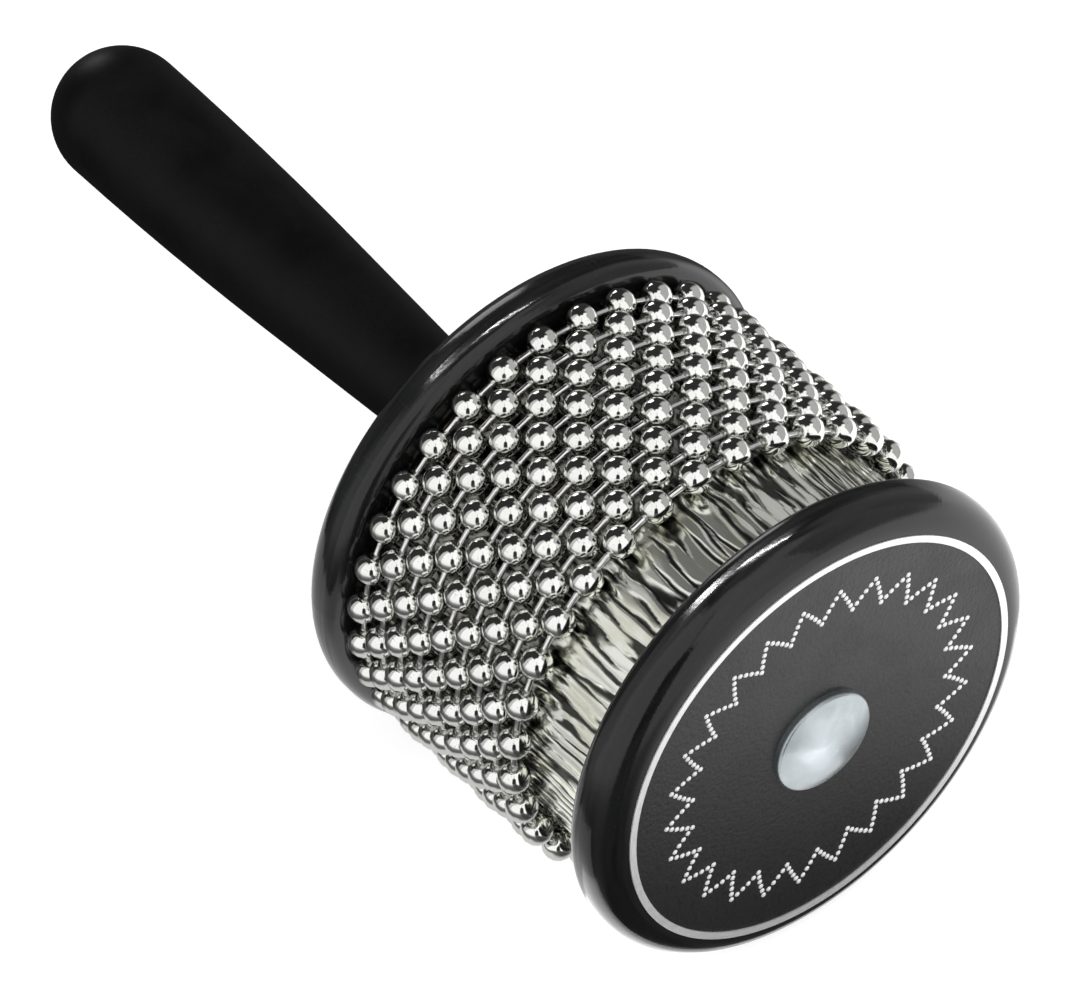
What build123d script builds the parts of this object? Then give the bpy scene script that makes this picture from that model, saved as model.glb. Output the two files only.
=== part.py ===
from build123d import *
import math
import os

# A cabasa that lies on the rims of its two discs. The drum's axis runs along X, with the front
# disc towards +X and the handle towards -X. Sizes are in millimetres.

# Drum: a turned wooden core with a steel sheet rolled round it
CORE_RADIUS = 42.6
SLEEVE_FIT = 0.1
SLEEVE_THICKNESS = 0.5
SLEEVE_END_GAP = 0.3
SEAM_GAP = 0.6
BARE_BAND = 16.8

# Brads along both edges of the sheet's seam
BRADS_PER_EDGE = 4
BRAD_INSET = 3.0
BRAD_LENGTH = 10.0
BRAD_SHANK_RADIUS = 0.6
BRAD_HEAD_RADIUS = 1.3
BRAD_HEAD_DEPTH = 0.9
BRAD_SINK = 0.05
BRAD_FIT = 0.12

# Loops of ball chain: hollow beads strung on short pins with a head at each end
LOOP_COUNT = 9
BEAD_DIAMETER = 6.35
BEAD_WALL = 0.45
BEAD_LIFT = 0.3
LINK_SHOW = 2.75
LOOP_GAP = 0.76
STACK_GAP = 0.3
PIN_RADIUS = 0.65
PIN_CLEARANCE = 0.2
PIN_HEAD_CATCH = 0.2
PIN_HEAD_THICKNESS = 0.6
PIN_HEAD_CLEARANCE = 0.15

# Discs
DISC_LIP = 1.15
DISC_OUTER_ROUND = 6.5
DISC_RIM_LAND = 1.1
DISC_INNER_ROUND = 3.0
SPIGOT_RADIUS = 22.0
SPIGOT_HEIGHT = 4.0
SPIGOT_FIT = 0.25
RING_WIDTH = 1.45
RING_DEPTH = 0.4
RING_PROUD = 0.25
RING_FIT = 0.05

# Through bolt with a domed head and a square neck
BOLT_RADIUS = 3.97
BOLT_CLEARANCE = 0.3
BOLT_END_CHAMFER = 0.8
BOLT_ENGAGEMENT = 19.8
HEAD_RADIUS = 10.8
HEAD_EDGE = 1.4
HEAD_DOME = 2.8
HEAD_ROUND = 0.8
NECK_LENGTH = 5.5
NECK_FIT = 0.15

# Handle and the threaded insert in its foot
THREAD_CLEARANCE = 0.1
INSERT_WALL = 1.9
INSERT_RUNOUT = 4.2
INSERT_FIT = 0.05
FOOT_WALL = 2.2
FOOT_CHAMFER = 0.6
HANDLE_LENGTH = 131.0
GRIP_RADIUS = 13.5
SWELL_LENGTH = 28.0

# Radii worked out from the drum outwards
sleeve_inner = CORE_RADIUS + SLEEVE_FIT
sleeve_outer = sleeve_inner + SLEEVE_THICKNESS
bead_radius = BEAD_DIAMETER / 2
bead_circle = sleeve_outer + BEAD_LIFT + bead_radius
disc_radius = bead_circle + bead_radius + DISC_LIP
face_radius = disc_radius - DISC_OUTER_ROUND

# Spacing of the beads round a loop, and of the nested loops along the drum
bead_count = int(math.pi / math.asin((BEAD_DIAMETER + LINK_SHOW) / (2 * bead_circle)))
bead_step = 360 / bead_count
half_step = math.radians(bead_step / 2)
bead_chord = 2 * bead_circle * math.sin(half_step)
loop_pitch = math.sqrt((BEAD_DIAMETER + LOOP_GAP) ** 2 - (bead_chord / 2) ** 2)
stack_length = STACK_GAP + BEAD_DIAMETER + (LOOP_COUNT - 1) * loop_pitch

# Stations along the axis, from the middle of the drum
drum_length = stack_length + BARE_BAND
disc_thickness = DISC_OUTER_ROUND + DISC_RIM_LAND + DISC_INNER_ROUND
disc_inside = drum_length / 2
disc_outside = disc_inside + disc_thickness
bolt_top = disc_outside + HEAD_EDGE + HEAD_DOME
handle_tip = -disc_outside - HANDLE_LENGTH

# Pins inside the beads
bead_inner = bead_radius - BEAD_WALL
pin_hole = PIN_RADIUS + PIN_CLEARANCE
pin_head = pin_hole + PIN_HEAD_CATCH
pin_head_reach = math.sqrt((bead_inner - PIN_HEAD_CLEARANCE) ** 2 - pin_head**2)

# Bolt, insert and foot of the handle
bolt_hole = BOLT_RADIUS + BOLT_CLEARANCE
bolt_end = -disc_outside - BOLT_ENGAGEMENT
insert_bore = BOLT_RADIUS + THREAD_CLEARANCE
insert_outer = insert_bore + INSERT_WALL
insert_length = BOLT_ENGAGEMENT + INSERT_RUNOUT
insert_pocket = insert_outer + INSERT_FIT
foot_radius = insert_pocket + FOOT_WALL


def turned(outline):
    """A closed outline of lines and arcs in X and radius, turned about the axis."""
    return revolve(make_face(outline), Axis.X)


def bar(start, end, radius):
    """A round bar along the axis from one station to another."""
    return turned(Polyline((start, 0), (start, radius), (end, radius), (end, 0), close=True))


def square_bar(start, end, side):
    """A square bar along the axis from one station to another."""
    return Pos((start + end) / 2, 0, 0) * Box(end - start, side, side)


def disc_blank():
    """A disc that faces +X: rounded rim, spigot into the core, hole for the bolt."""
    rim_start = disc_inside + DISC_INNER_ROUND
    rim_end = rim_start + DISC_RIM_LAND
    rim = Polyline(
        (disc_outside, face_radius),
        (disc_outside, 0),
        (disc_inside, 0),
        (disc_inside, disc_radius - DISC_INNER_ROUND),
    )
    rim += TangentArc(
        (disc_inside, disc_radius - DISC_INNER_ROUND), (rim_start, disc_radius), tangent=(0, 1)
    )
    rim += Line((rim_start, disc_radius), (rim_end, disc_radius))
    rim += TangentArc((rim_end, disc_radius), (disc_outside, face_radius), tangent=(1, 0))
    blank = turned(rim) + bar(disc_inside - SPIGOT_HEIGHT, disc_inside, SPIGOT_RADIUS)
    return blank - bar(disc_inside - SPIGOT_HEIGHT, disc_outside, bolt_hole)


def trim_ring(fit):
    """The flat ring at the edge of the front face, or with a fit the groove that it lies in."""
    floor = disc_outside - RING_DEPTH
    top = disc_outside + RING_PROUD
    return bar(floor, top, face_radius + fit) - bar(floor, top, face_radius - RING_WIDTH - fit)


def front_disc():
    """The disc under the bolt's head, with a square seat for its neck and a groove for the ring."""
    seat = square_bar(
        disc_outside - NECK_LENGTH - NECK_FIT, disc_outside, 2 * (BOLT_RADIUS + NECK_FIT)
    )
    return disc_blank() - seat - trim_ring(RING_FIT)


def rear_disc():
    """The plain disc that the handle's foot bears on."""
    return Rot(Z=180) * disc_blank()


def brad(fit, top):
    """One countersunk brad that points at the axis from +Z, or with a fit the hole for it."""
    tip = sleeve_outer - BRAD_LENGTH
    outline = Polyline(
        (0, top),
        (BRAD_HEAD_RADIUS + fit, top),
        (BRAD_SHANK_RADIUS + fit, top - BRAD_HEAD_DEPTH),
        (BRAD_SHANK_RADIUS + fit, tip + BRAD_SHANK_RADIUS),
        (0, tip - fit),
        close=True,
    )
    return Rot(X=90) * revolve(make_face(outline), Axis.Y)


def beside_seam(shape):
    """Copies of a radial shape along both edges of the seam, which faces the ground."""
    lean = math.degrees((SEAM_GAP / 2 + BRAD_INSET) / sleeve_outer)
    spacing = drum_length / BRADS_PER_EDGE
    return [
        Pos((row - (BRADS_PER_EDGE - 1) / 2) * spacing, 0, 0) * Rot(X=180 + side * lean) * shape
        for side in (-1, 1)
        for row in range(BRADS_PER_EDGE)
    ]


def drum_core():
    """The wooden core: bored for the bolt, with a recess at each end for a spigot."""
    recess = SPIGOT_RADIUS + SPIGOT_FIT
    recess_floor = disc_inside - SPIGOT_HEIGHT - SPIGOT_FIT
    core = bar(-disc_inside, disc_inside, CORE_RADIUS)
    core -= bar(-disc_inside, disc_inside, bolt_hole)
    core -= bar(recess_floor, disc_inside, recess)
    core -= bar(-disc_inside, -recess_floor, recess)
    return core - beside_seam(brad(BRAD_FIT, sleeve_outer + BRAD_SINK))


def drum_sleeve():
    """The rolled sheet, open along its seam."""
    end = disc_inside - SLEEVE_END_GAP
    sheet = bar(-end, end, sleeve_outer) - bar(-end, end, sleeve_inner)
    sheet -= Pos(0, 0, -sleeve_outer) * Box(2 * end, SEAM_GAP, sleeve_outer)
    return sheet - beside_seam(brad(BRAD_FIT, sleeve_outer + BRAD_SINK))


def sleeve_brads():
    """The brads, sunk just below the surface that the beads run on."""
    return beside_seam(brad(0, sleeve_outer - BRAD_SINK))


def through_bolt():
    """The bolt that draws discs, drum and handle together."""
    outline = Polyline(
        (bolt_top, 0),
        (bolt_end, 0),
        (bolt_end, BOLT_RADIUS - BOLT_END_CHAMFER),
        (bolt_end + BOLT_END_CHAMFER, BOLT_RADIUS),
        (disc_outside, BOLT_RADIUS),
        (disc_outside, HEAD_RADIUS),
        (disc_outside + HEAD_EDGE, HEAD_RADIUS),
    )
    outline += TangentArc((bolt_top, 0), (disc_outside + HEAD_EDGE, HEAD_RADIUS), tangent=(0, 1))
    neck = square_bar(disc_outside - NECK_LENGTH, disc_outside, 2 * BOLT_RADIUS)
    bolt = turned(outline) + neck
    edge_of_dome = [
        edge
        for edge in bolt.edges().filter_by(GeomType.CIRCLE)
        if edge.radius > HEAD_RADIUS - 0.01 and edge.center().X > disc_outside + HEAD_EDGE / 2
    ]
    return fillet(edge_of_dome, HEAD_ROUND)


def handle():
    """The tapered handle: a cone that swells into a cylinder and ends in a half ball."""
    foot = -disc_outside
    ball = handle_tip + GRIP_RADIUS
    corner = ball + SWELL_LENGTH
    taper = (GRIP_RADIUS - foot_radius) / (foot - corner)
    swell_start = corner + SWELL_LENGTH * math.cos(math.atan(taper))
    swell_radius = GRIP_RADIUS - SWELL_LENGTH * math.sin(math.atan(taper))
    outline = Polyline(
        (handle_tip, 0),
        (foot, 0),
        (foot, foot_radius - FOOT_CHAMFER),
        (foot - FOOT_CHAMFER, foot_radius + taper * FOOT_CHAMFER),
        (swell_start, swell_radius),
    )
    outline += TangentArc((swell_start, swell_radius), (ball, GRIP_RADIUS), tangent=(-1, taper))
    outline += TangentArc((ball, GRIP_RADIUS), (handle_tip, 0), tangent=(-1, 0))
    return turned(outline) - bar(foot - insert_length - INSERT_FIT, foot, insert_pocket)


def handle_insert():
    """The threaded sleeve that is moulded into the handle's foot."""
    foot = -disc_outside
    return bar(foot - insert_length, foot, insert_outer) - bar(
        foot - insert_length, foot, insert_bore
    )


def hollow_bead():
    """A bead at the top of its loop, with a hole towards each neighbour."""
    bead = Sphere(bead_radius) - Sphere(bead_inner)
    drill = Pos(0, 0, bead_radius) * Cylinder(pin_hole, BEAD_DIAMETER)
    for side in (-1, 1):
        bead -= Rot(X=side * (90 + bead_step / 2)) * drill
    return (Pos(0, 0, bead_circle) * bead).solid()


def link_pin():
    """A pin at the top of its loop, halfway between two beads, with a head inside each."""
    head_end = bead_chord / 2 - pin_head_reach
    shank = Cylinder(PIN_RADIUS, 2 * (head_end + PIN_HEAD_THICKNESS))
    for side in (-1, 1):
        shank += Pos(0, 0, side * (head_end + PIN_HEAD_THICKNESS / 2)) * Cylinder(
            pin_head, PIN_HEAD_THICKNESS
        )
    return (Pos(0, 0, bead_circle * math.cos(half_step)) * Rot(X=90) * shank).solid()


def ring_of(piece, station, turn):
    """Copies of a bead or pin all round a loop, starting a part of a step from the top."""
    return [
        Pos(station, 0, 0) * Rot(X=(number + turn) * bead_step) * piece
        for number in range(bead_count)
    ]


nodes = {
    "handle": handle(),
    "handle_insert": handle_insert(),
    "rear_disc": rear_disc(),
    "front_disc": front_disc(),
    "front_trim_ring": trim_ring(0),
    "drum_core": drum_core(),
    "drum_sleeve": drum_sleeve(),
    "sleeve_brads": Compound(sleeve_brads()),
    "through_bolt": through_bolt(),
}

# Each loop nests half a step round from the loop behind it
bead = hollow_bead()
pin = link_pin()
for loop in range(LOOP_COUNT):
    station = -disc_inside + STACK_GAP + bead_radius + loop * loop_pitch
    turn = 0.5 if loop % 2 == 0 else 0
    nodes[f"bead_loop_{loop + 1}_beads"] = Compound(ring_of(bead, station, turn))
    nodes[f"bead_loop_{loop + 1}_links"] = Compound(ring_of(pin, station, turn + 0.5))

# The axis stands a disc radius above the ground, and the length is centred on the origin
frame = Pos(-(bolt_top + handle_tip) / 2, 0, disc_radius)
os.makedirs("parts", exist_ok=True)
for name, shape in nodes.items():
    export_step(frame * shape, f"parts/{name}.step")

print(f"{bead_count} beads a loop, loops {loop_pitch:.2f} apart, drum {drum_length:.2f} long")
print(f"disc radius {disc_radius:.2f}, overall length {bolt_top - handle_tip:.2f}")
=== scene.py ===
# %% [markdown]
# A cabasa in Blender
#
# A cabasa is a hand percussion instrument: a drum wrapped in embossed steel, loops of steel bead
# chain lying loose round it, a black disc at each end and a handle. The player holds the beads
# still with one palm and turns the handle, and the beads rasp over the steel. The shapes come from
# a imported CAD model, which stays fixed. This lesson dresses it: it adds the chain, the embossing
# and the finishes, in metres, in the same frame.

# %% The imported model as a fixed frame
import math
import bmesh
import bpy
from mathutils import Matrix, Vector


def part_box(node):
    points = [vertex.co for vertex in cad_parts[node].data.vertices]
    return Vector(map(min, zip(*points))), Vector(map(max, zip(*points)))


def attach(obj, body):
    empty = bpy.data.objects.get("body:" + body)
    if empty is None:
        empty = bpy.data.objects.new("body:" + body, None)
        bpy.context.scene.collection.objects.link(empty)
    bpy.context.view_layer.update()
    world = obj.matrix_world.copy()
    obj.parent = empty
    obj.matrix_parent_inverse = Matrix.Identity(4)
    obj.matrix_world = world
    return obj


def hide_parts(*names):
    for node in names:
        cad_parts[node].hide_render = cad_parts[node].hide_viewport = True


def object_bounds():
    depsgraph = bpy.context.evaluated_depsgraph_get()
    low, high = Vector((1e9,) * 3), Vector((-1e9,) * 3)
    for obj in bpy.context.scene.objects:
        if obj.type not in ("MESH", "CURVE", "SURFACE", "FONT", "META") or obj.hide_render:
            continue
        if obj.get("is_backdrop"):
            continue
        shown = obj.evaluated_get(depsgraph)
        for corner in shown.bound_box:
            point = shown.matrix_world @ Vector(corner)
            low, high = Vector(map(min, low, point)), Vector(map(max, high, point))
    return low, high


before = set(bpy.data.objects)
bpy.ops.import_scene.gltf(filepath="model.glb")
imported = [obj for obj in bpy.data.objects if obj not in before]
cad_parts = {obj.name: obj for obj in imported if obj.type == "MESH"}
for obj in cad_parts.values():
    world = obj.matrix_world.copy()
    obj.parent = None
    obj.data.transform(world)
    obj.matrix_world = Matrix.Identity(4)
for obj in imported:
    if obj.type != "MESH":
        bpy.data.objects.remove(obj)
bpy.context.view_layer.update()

# %% Sizes read from the frame
front_low, front_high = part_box("front_disc")
sleeve_low, sleeve_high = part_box("drum_sleeve")
AXIS_HEIGHT = (front_low.z + front_high.z) / 2
FACE_STATION = front_high.x
MIDDLE_STATION = (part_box("rear_disc")[0].x + FACE_STATION) / 2
SLEEVE_RADIUS = (sleeve_high.z - sleeve_low.z) / 2
SLEEVE_LENGTH = sleeve_high.x - sleeve_low.x
CHAIN_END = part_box("bead_loop_9_beads")[1].x
print(f"axis {AXIS_HEIGHT:.4f} high, face at {FACE_STATION:.4f}, sleeve radius {SLEEVE_RADIUS:.4f}")

# %% [markdown]
# The camera
#
# The view is a long lens from nearly three metres, turned to the front disc's side and looking
# down on it. A camera can be aimed with a constraint, but here its three directions are worked out
# from two angles, so that the picture can be laid over a photograph and compared.

# %% Camera
TURN = math.radians(51.017)
TILT = math.radians(46.198)
LENS_MM = 512.97
STEP_RIGHT = -0.047565
STEP_UP = 0.03929
STEP_BACK = 2.7645
BEHIND_FACE = 0.0065
right = Vector((math.cos(TURN), math.sin(TURN), 0))
level_back = Vector((math.sin(TURN), -math.cos(TURN), 0))
back = level_back * math.cos(TILT) + Vector((0, 0, math.sin(TILT)))
up = back.cross(right)
aim = Vector((FACE_STATION - BEHIND_FACE, 0, AXIS_HEIGHT))
stand = aim + STEP_RIGHT * right + STEP_UP * up + STEP_BACK * back

camera = bpy.data.objects.new("camera", bpy.data.cameras.new("camera"))
bpy.context.scene.collection.objects.link(camera)
bpy.context.scene.camera = camera
camera.data.sensor_fit = "HORIZONTAL"
camera.data.sensor_width = 36
camera.data.lens = LENS_MM
camera.data.clip_end = 50
turned = Matrix((right, up, back)).transposed().to_4x4()
camera.matrix_world = Matrix.Translation(stand) @ turned
print("camera at", [round(v, 3) for v in camera.location])

# %% [markdown]
# Helpers for node trees
#
# Finishes and repeated shapes are both node trees. These helpers add a node, feed a socket with a
# number or with another node's output, and do sums, so that the cells below read like the recipe
# they follow.

# %% Node helpers
def put(tree, kind, **settings):
    node = tree.nodes.new(kind)
    for name, value in settings.items():
        setattr(node, name, value)
    return node


def feed(tree, socket, value):
    if isinstance(value, bpy.types.NodeSocket):
        tree.links.new(value, socket)
    else:
        socket.default_value = value


def sums(tree, operation, first, second=0.0, third=0.0):
    node = put(tree, "ShaderNodeMath", operation=operation)
    for socket, value in zip(node.inputs, (first, second, third)):
        feed(tree, socket, value)
    return node.outputs[0]


def spread(tree, value, low, high, to_low=0.0, to_high=1.0, kind="SMOOTHSTEP"):
    node = put(tree, "ShaderNodeMapRange", interpolation_type=kind)
    for socket, number in zip(node.inputs, (value, low, high, to_low, to_high)):
        feed(tree, socket, number)
    return node.outputs["Result"]


def vector(tree, x=0.0, y=0.0, z=0.0):
    node = put(tree, "ShaderNodeCombineXYZ")
    for socket, value in zip(node.inputs, (x, y, z)):
        feed(tree, socket, value)
    return node.outputs[0]


def blend_colours(tree, share, first, second):
    node = put(tree, "ShaderNodeMix", data_type="RGBA")
    feed(tree, node.inputs["Factor"], share)
    feed(tree, node.inputs[6], first)
    feed(tree, node.inputs[7], second)
    return node.outputs[2]


print("node helpers ready")

# %% [markdown]
# Light and floor
#
# Polished beads show the room more than themselves, so the room is made first. Two tall bright
# panels stand left and right of the camera with a dark gap between them, and lean together
# overhead; a grey wall is on the right, the far left is dark, and one small lamp stands there. Area
# lights could do it, but painting the panels on the surroundings by azimuth and height gives their
# soft edges too, and the floor takes up the same panels.

# %% Directions seen from the drum
def bearing(tree, place):
    """Azimuth to the right of the camera in degrees, and the parts of a direction or a place."""
    parts = put(tree, "ShaderNodeSeparateXYZ")
    feed(tree, parts.inputs[0], place)
    x = parts.outputs["X"]
    y = parts.outputs["Y"]
    y_side = sums(tree, "MULTIPLY", y, math.sin(TURN))
    side = sums(tree, "MULTIPLY_ADD", x, math.cos(TURN), y_side)
    y_ahead = sums(tree, "MULTIPLY", y, -math.cos(TURN))
    ahead = sums(tree, "MULTIPLY_ADD", x, math.sin(TURN), y_ahead)
    azimuth = sums(tree, "MULTIPLY", sums(tree, "ARCTAN2", side, ahead), math.degrees(1))
    square = sums(tree, "MULTIPLY_ADD", side, side, sums(tree, "MULTIPLY", ahead, ahead))
    return azimuth, sums(tree, "SQRT", square), parts.outputs["Z"]


def between(tree, value, low, high, edge):
    """One inside a range and zero outside, with soft edges."""
    begins = spread(tree, value, sums(tree, "SUBTRACT", low, edge), sums(tree, "ADD", low, edge))
    ends = spread(tree, value, sums(tree, "ADD", high, edge), sums(tree, "SUBTRACT", high, edge))
    return sums(tree, "MULTIPLY", begins, ends)


print("directions ready")

# %% Bright and dark directions
DARK = 0.03
GAP_BELOW = 12.0
GAP_ABOVE = 1.2
FLOOR_LINE = -99
# azimuth from, to and its soft edge; height from, to and its soft edge; brightness
FIXED_PANELS = {
    "overhead": (-35, 112, 8.0, 58, 79, 3.0, 1.1),
    "left wing": (-94, -72, 4.0, FLOOR_LINE, 62, 4.0, 0.6),
    "right wall": (62, 155, 6.0, FLOOR_LINE, 60, 8.0, 0.48),
    "far lamp": (-166, -147, 2.0, 3, 27, 3.0, 3.0),
}


def panels(tree, azimuth, height):
    """The brightness of the panels and the walls in a direction."""
    gap = spread(tree, height, 28, 38, GAP_BELOW, GAP_ABOVE)
    left = (-74, sums(tree, "MULTIPLY", gap, -1.0), 2.0, FLOOR_LINE, 66, 3.0, 1.1)
    right = (gap, 66, 2.0, FLOOR_LINE, 72, 3.0, 1.15)
    level = DARK
    for start, end, edge, low, high, fade, glow in (left, right, *FIXED_PANELS.values()):
        wide = between(tree, azimuth, start, end, edge)
        tall = between(tree, height, low, high, fade)
        lit = sums(tree, "MULTIPLY", sums(tree, "MULTIPLY", wide, tall), glow)
        level = sums(tree, "MAXIMUM", lit, level)
    return level


print("panels", len(FIXED_PANELS) + 2)

# %% Floor
FLOOR_HALF = 9
FLOOR_DROP = 0.0002
FLOOR_SEEN = 0.72
UNDER_GLOW = 0.6
BESIDE_GLOW = 1.5


def floor_paper():
    made = bpy.data.materials.new("floor_paper")
    made.use_nodes = True
    tree = made.node_tree
    shader = tree.nodes["Principled BSDF"]
    place = put(tree, "ShaderNodeTexCoord").outputs["Object"]
    fibre = put(tree, "ShaderNodeTexNoise")
    feed(tree, fibre.inputs["Vector"], place)
    fibre.inputs["Scale"].default_value = 300
    white = blend_colours(tree, fibre.outputs["Fac"], (0.86, 0.86, 0.86, 1), (0.9, 0.9, 0.9, 1))
    seen = put(tree, "ShaderNodeLightPath").outputs["Is Camera Ray"]
    # The camera sees the paper white; every other ray sees it dark grey, a painted shade.
    feed(tree, shader.inputs["Base Color"], blend_colours(tree, seen, (0.1, 0.1, 0.1, 1), white))
    shader.inputs["Roughness"].default_value = 0.8
    shader.inputs["Specular IOR Level"].default_value = 0.1
    shader.inputs["Emission Color"].default_value = (1, 1, 1, 1)
    # For those other rays the paper glows with the panels' light, a painted light. It is darker
    # close to the drum, a painted shade, and brighter in painted patches of light under and beside
    # the drum.
    azimuth, away, rise = bearing(tree, place)
    taken_up = spread(tree, away, 0.10, 0.42, 0.05, 0.85)
    lit = sums(tree, "MULTIPLY", panels(tree, azimuth, rise), taken_up)
    spot = put(tree, "ShaderNodeSeparateXYZ")
    feed(tree, spot.inputs[0], place)
    lengthwise = between(tree, spot.outputs["X"], -0.05, 0.03, 0.012)
    crosswise = between(tree, spot.outputs["Y"], -0.085, 0.2, 0.015)
    under = sums(tree, "MULTIPLY", lengthwise, crosswise)
    to_the_right = between(tree, azimuth, 35, 150, 20.0)
    beside = sums(tree, "MULTIPLY", to_the_right, spread(tree, away, 0.05, 0.125))
    lit = sums(tree, "MAXIMUM", lit, sums(tree, "MULTIPLY", under, UNDER_GLOW))
    lit = sums(tree, "MAXIMUM", lit, sums(tree, "MULTIPLY", beside, BESIDE_GLOW))
    shown = sums(tree, "MULTIPLY", sums(tree, "SUBTRACT", FLOOR_SEEN, lit), seen)
    feed(tree, shader.inputs["Emission Strength"], sums(tree, "ADD", shown, lit))
    return made


floor_mesh = bpy.data.meshes.new("floor")
corners = [(FLOOR_HALF * x, FLOOR_HALF * y, 0) for x, y in ((-1, -1), (1, -1), (1, 1), (-1, 1))]
floor_mesh.from_pydata(corners, [], [(0, 1, 2, 3)])
floor = bpy.data.objects.new("floor", floor_mesh)
floor.location = (MIDDLE_STATION, 0, -FLOOR_DROP)
floor.data.materials.append(floor_paper())
bpy.context.scene.collection.objects.link(floor)
floor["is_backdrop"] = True
print("floor", [round(v, 1) for v in floor.dimensions])


# %% Panels and walls of the room
WALLS_SEEN = 0.93
room = bpy.data.worlds.new("room")
bpy.context.scene.world = room
room.use_nodes = True
tree = room.node_tree
azimuth, away, rise = bearing(tree, put(tree, "ShaderNodeTexCoord").outputs["Generated"])
height = sums(tree, "MULTIPLY", sums(tree, "ARCTAN2", rise, away), math.degrees(1))
level = panels(tree, azimuth, height)
seen = put(tree, "ShaderNodeLightPath").outputs["Is Camera Ray"]
walls = tree.nodes["Background"]
walls.inputs["Color"].default_value = (1, 1, 1, 1)
shown = sums(tree, "MULTIPLY", sums(tree, "SUBTRACT", WALLS_SEEN, level), seen)
feed(tree, walls.inputs["Strength"], sums(tree, "ADD", shown, level))
bpy.context.scene.view_settings.view_transform = "Standard"
print("room", room.name, len(tree.nodes), "nodes")


# %% [markdown]
# Lamps for single pieces
#
# In a studio, small strips and white cards give one part of an object its own shine. Moving the
# whole room for a rim would spoil the beads, so here a lamp is linked to the pieces that it lights,
# and to no others. Some lamps hang at a distance; others lie flat on the floor, as a card would.

# %% Lamps that light only some pieces
SHEET_HEIGHT = 0.0004
HANGING_DISTANCE = 1.2


def lamp_for(pieces, name, length, width, glow, place):
    """A flat lamp that lights only the pieces given, and that the camera doesn't see."""
    lamp = bpy.data.lights.new(name, "AREA")
    lamp.shape = "RECTANGLE"
    lamp.size = length
    lamp.size_y = width
    lamp.energy = glow * math.pi * length * width
    made = bpy.data.objects.new(name, lamp)
    made.matrix_world = place
    made.visible_camera = False
    bpy.context.scene.collection.objects.link(made)
    made.light_linking.receiver_collection = bpy.data.collections.new(name)
    for piece in pieces:
        made.light_linking.receiver_collection.objects.link(piece)
    print(name, round(length, 2), "by", round(width, 2))


def towards(azimuth, height):
    """A direction from the drum, to the right of the camera and above the floor in degrees."""
    turn = TURN + math.radians(azimuth)
    lift = math.radians(height)
    level = math.cos(lift)
    return Vector((math.sin(turn) * level, -math.cos(turn) * level, math.sin(lift)))


def hung_lamp(pieces, name, first, second, width, glow):
    """A lamp that hangs at a distance and reaches from one direction to another."""
    away = (first + second).normalized()
    along = (second - first).normalized()
    facing = Matrix((along, away.cross(along), away)).transposed().to_4x4()
    hook = Vector((MIDDLE_STATION, 0, AXIS_HEIGHT)) + HANGING_DISTANCE * away
    length = HANGING_DISTANCE * 2 * math.tan(first.angle(second) / 2)
    lamp_for(pieces, name, length, width, glow, Matrix.Translation(hook) @ facing)


def floor_lamp(pieces, name, low, high, glow):
    """A bright sheet on the floor between two corners, counted from the middle of the drum."""
    station = MIDDLE_STATION + (low[0] + high[0]) / 2
    middle = Vector((station, (low[1] + high[1]) / 2, SHEET_HEIGHT))
    place = Matrix.Translation(middle) @ Matrix.Rotation(math.pi, 4, "X")
    lamp_for(pieces, name, high[0] - low[0], high[1] - low[1], glow, place)


front_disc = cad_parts["front_disc"]
rear_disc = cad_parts["rear_disc"]
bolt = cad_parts["through_bolt"]
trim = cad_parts["front_trim_ring"]
hung_lamp([front_disc, rear_disc], "rim_strip", towards(-105, 50), towards(160, 68), 0.03, glow=150)
floor_lamp([front_disc, rear_disc], "rim_sheet", (-0.16, -0.13), (0.040, 0.0), glow=0.75)
floor_lamp([front_disc], "rim_foot", (0.015, -0.075), (0.044, 0.09), glow=1.3)
floor_lamp([bolt], "bolt_sheet", (0.046, -0.16), (0.14, 0.03), glow=1.1)
hung_lamp([trim], "ring_lamp", towards(40, 25), towards(90, 25), width=0.8, glow=0.7)


# %% [markdown]
# Effects that several finishes share
#
# A real surface is never one value all over. Fingers leave smudges, turning leaves streaks that run
# round the axis, and moulds leave a pebbled skin. Each effect is made once as a node group with its
# own named sizes, and every finish that needs it places the group with other numbers.

# %% Group builder
def new_group(name, sizes, results):
    tree = bpy.data.node_groups.new(name, "ShaderNodeTree")
    for socket, value in sizes.items():
        made = tree.interface.new_socket(socket, in_out="INPUT", socket_type="NodeSocketFloat")
        made.default_value = value
    for socket in results:
        tree.interface.new_socket(socket, in_out="OUTPUT", socket_type="NodeSocketFloat")
    return tree, put(tree, "NodeGroupInput").outputs, put(tree, "NodeGroupOutput").inputs


def place_group(tree, group, **sizes):
    node = put(tree, "ShaderNodeGroup", node_tree=group)
    for name, value in sizes.items():
        feed(tree, node.inputs[name.replace("_", " ")], value)
    return node.outputs


print("groups can be built")


# %% Smudges from handling
SMUDGE_FADE = 0.14
smudges, size, result = new_group(
    "handling smudges", {"Size": 0.01, "Edge": 0.5}, ["Smudge", "Scratch"])
place = put(smudges, "ShaderNodeTexCoord").outputs["Object"]
cloud = put(smudges, "ShaderNodeTexNoise")
feed(smudges, cloud.inputs["Vector"], place)
feed(smudges, cloud.inputs["Scale"], sums(smudges, "DIVIDE", 1.0, size["Size"]))
cloud.inputs["Detail"].default_value = 4
cloud.inputs["Distortion"].default_value = 0.6
low = sums(smudges, "SUBTRACT", size["Edge"], SMUDGE_FADE)
high = sums(smudges, "ADD", size["Edge"], SMUDGE_FADE)
feed(smudges, result["Smudge"], spread(smudges, cloud.outputs["Fac"], low, high))
slanted = put(smudges, "ShaderNodeMapping")
slanted.inputs["Rotation"].default_value = (0.4, 0.7, 0.3)
slanted.inputs["Scale"].default_value = (1, 14, 14)
feed(smudges, slanted.inputs["Vector"], place)
hair = put(smudges, "ShaderNodeTexNoise")
feed(smudges, hair.inputs["Vector"], slanted.outputs["Vector"])
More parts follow.
